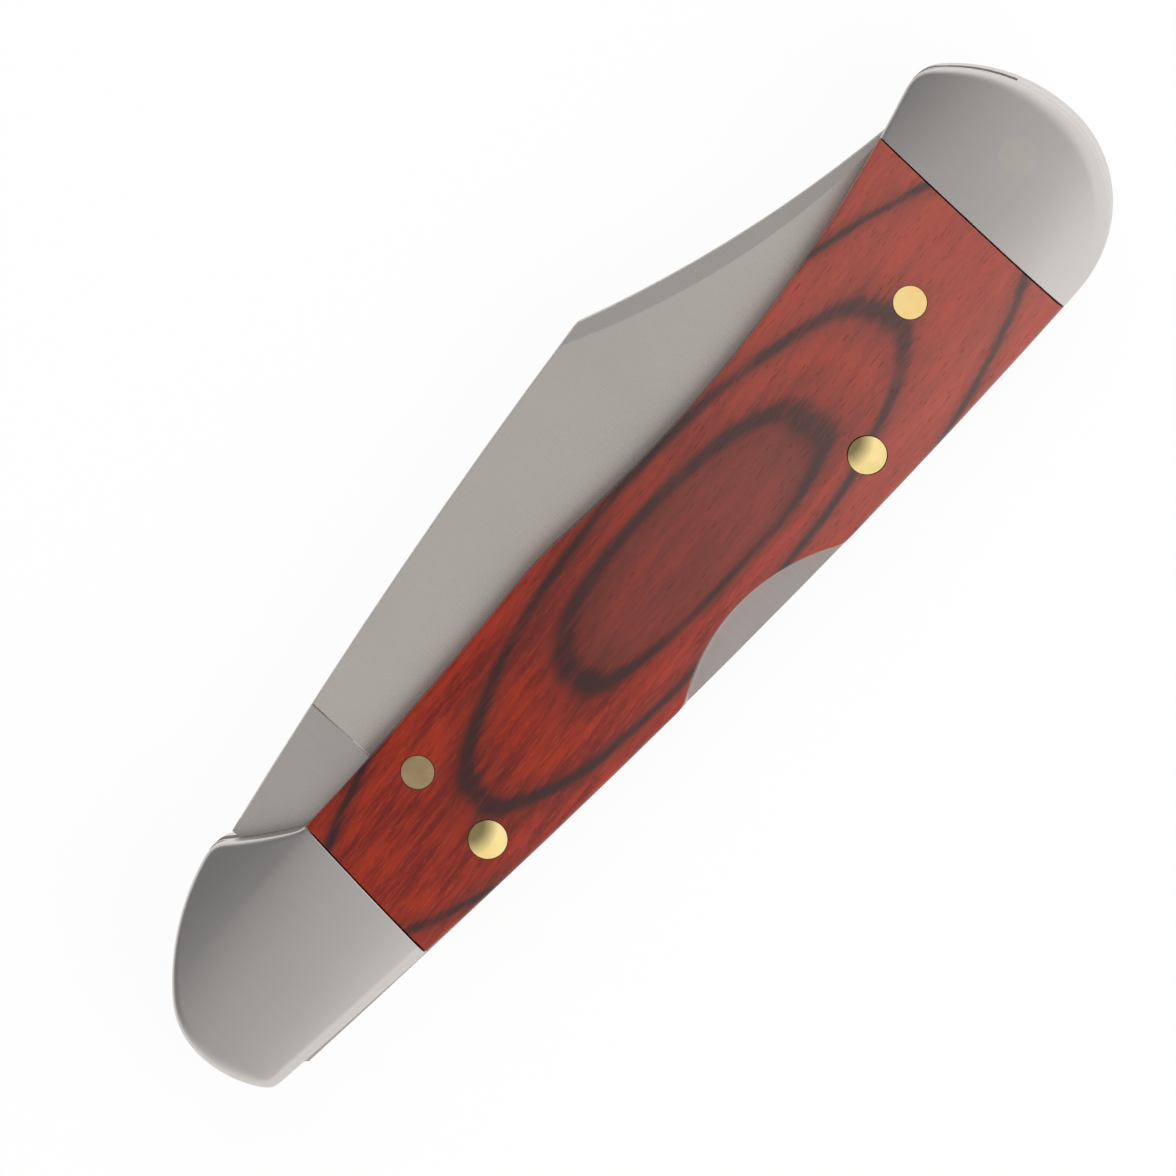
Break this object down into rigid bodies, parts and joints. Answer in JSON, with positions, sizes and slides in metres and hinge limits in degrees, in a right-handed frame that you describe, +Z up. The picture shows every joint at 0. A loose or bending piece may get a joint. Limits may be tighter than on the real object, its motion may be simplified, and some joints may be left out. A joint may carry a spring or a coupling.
{
  "type": "folding pocket knife",
  "caption": "Lock-back folding knife: clip-point blade folding into a handle with dark-figured red wood scales, steel bolsters and brass pins.",
  "frame": {"origin": "centre of the closed knife's bounding box, on the plane of the lower bolsters that it lies on", "axes": "+X from the pivot end to the butt, +Y to the side that the blade folds into, +Z up out of the right scale"},
  "size_m": [0.115, 0.0312, 0.0142],
  "materials": {
    "blade_steel": "fine satin",
    "bolster_steel": "satin, polished round the rims",
    "inner_steel": "satin",
    "wood": "red laminated wood with dark figure, satin lacquer",
    "brass": "polished",
    "bronze": "plain"
  },
  "bodies": {
    "handle": {"lock_spring": "inner_steel", "back_spacer": "inner_steel", "pivot_pin": "bolster_steel", "rear_bolster_pin": "bolster_steel", "lock_bar_pin": "brass", "spacer_pin": "brass", "liner_left": "inner_steel", "scale_left": "wood", "front_bolster_left": "bolster_steel", "rear_bolster_left": "bolster_steel", "pivot_washer_left": "bronze", "scale_rivet_front_left": "brass", "scale_rivet_rear_left": "brass", "liner_right": "inner_steel", "scale_right": "wood", "front_bolster_right": "bolster_steel", "rear_bolster_right": "bolster_steel", "pivot_washer_right": "bronze", "scale_rivet_front_right": "brass", "scale_rivet_rear_right": "brass"},
    "blade": {"blade": "blade_steel"},
    "lock_bar": {"lock_bar": "inner_steel"}
  },
  "joints": [
    {"name": "blade_pivot", "type": "hinge", "parent": "handle", "child": "blade", "pos_m": [-0.0468, -0.00198, 0.0071], "axis": [0, 0, 1], "range_deg": [0, 180]},
    {"name": "lock_bar_pivot", "type": "hinge", "parent": "handle", "child": "lock_bar", "pos_m": [-0.0253, -0.00988, 0.0071], "axis": [0, 0, 1], "range_deg": [-2, 2], "stiffness_Nm_per_rad": 2, "deforming": ["lock_spring"]}
  ]
}
